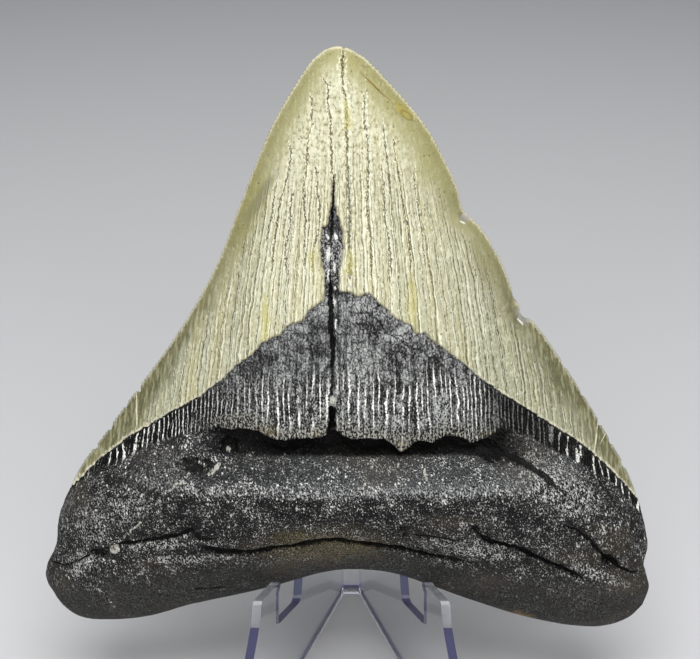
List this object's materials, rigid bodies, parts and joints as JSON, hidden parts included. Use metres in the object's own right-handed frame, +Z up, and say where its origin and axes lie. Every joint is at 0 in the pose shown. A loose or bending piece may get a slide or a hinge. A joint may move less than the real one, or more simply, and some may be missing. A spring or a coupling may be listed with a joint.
{
  "type": "megalodon tooth on display easel",
  "caption": "Broad serrated fossil shark tooth with dark root and pale crown, leaning on a small clear V-shaped display easel.",
  "frame": {"origin": "middle of the bounding box, on the surface that the easel stands on", "axes": "+Z up; the tooth's displayed lingual face looks towards -Y and the easel's spine is at +Y; +X to the viewer's right"},
  "size_m": [0.1122, 0.0668, 0.1173],
  "materials": {
    "tooth": "fossil enamel, satin, cream to olive tan, over a matt granular charcoal root",
    "clear_plastic": "clear moulded sheet, polished, with a faint violet-blue tint at its edges"
  },
  "bodies": {
    "root": {"tooth": "tooth", "easel": "clear_plastic"}
  },
  "joints": []
}
